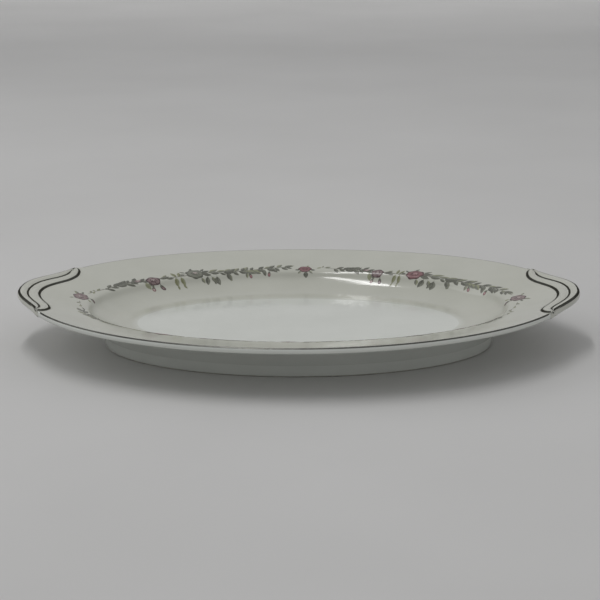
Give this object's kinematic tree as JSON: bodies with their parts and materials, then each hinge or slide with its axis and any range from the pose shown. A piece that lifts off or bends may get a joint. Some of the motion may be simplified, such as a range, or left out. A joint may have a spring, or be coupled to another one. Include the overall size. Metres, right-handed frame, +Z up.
{
  "type": "oval serving platter",
  "caption": "Shallow oval china platter with a sloping ivory rim, a foot ring, scrolled tab handles at both ends and a garland of roses round its well.",
  "frame": {"origin": "middle of the foot ring, on the plane that the platter stands on", "axes": "+X along the long axis towards one handle, +Y across the platter, +Z up out of the well"},
  "size_m": [0.413, 0.304, 0.0414],
  "materials": {
    "white_glaze": "glossy clear glaze over white china",
    "ivory_glaze": "glossy ivory ground glaze",
    "platinum": "burnished platinum line, slightly worn",
    "flower_print": "overglaze flower transfer in muted rose and grey-green"
  },
  "bodies": {
    "root": {"china_body": "white_glaze", "foot_ring": "white_glaze", "left_handle": "ivory_glaze", "right_handle": "ivory_glaze", "ivory_ground": "ivory_glaze", "rim_line": "platinum", "left_handle_outer_line": "platinum", "left_handle_middle_line": "platinum", "left_handle_inner_line": "platinum", "right_handle_outer_line": "platinum", "right_handle_middle_line": "platinum", "right_handle_inner_line": "platinum", "rose_spray_back_right": "flower_print", "rose_spray_back_left": "flower_print", "rose_spray_front_left": "flower_print", "rose_spray_front_right": "flower_print", "small_rose_right": "flower_print", "small_rose_back": "flower_print", "small_rose_left": "flower_print", "small_rose_front": "flower_print"}
  },
  "joints": []
}
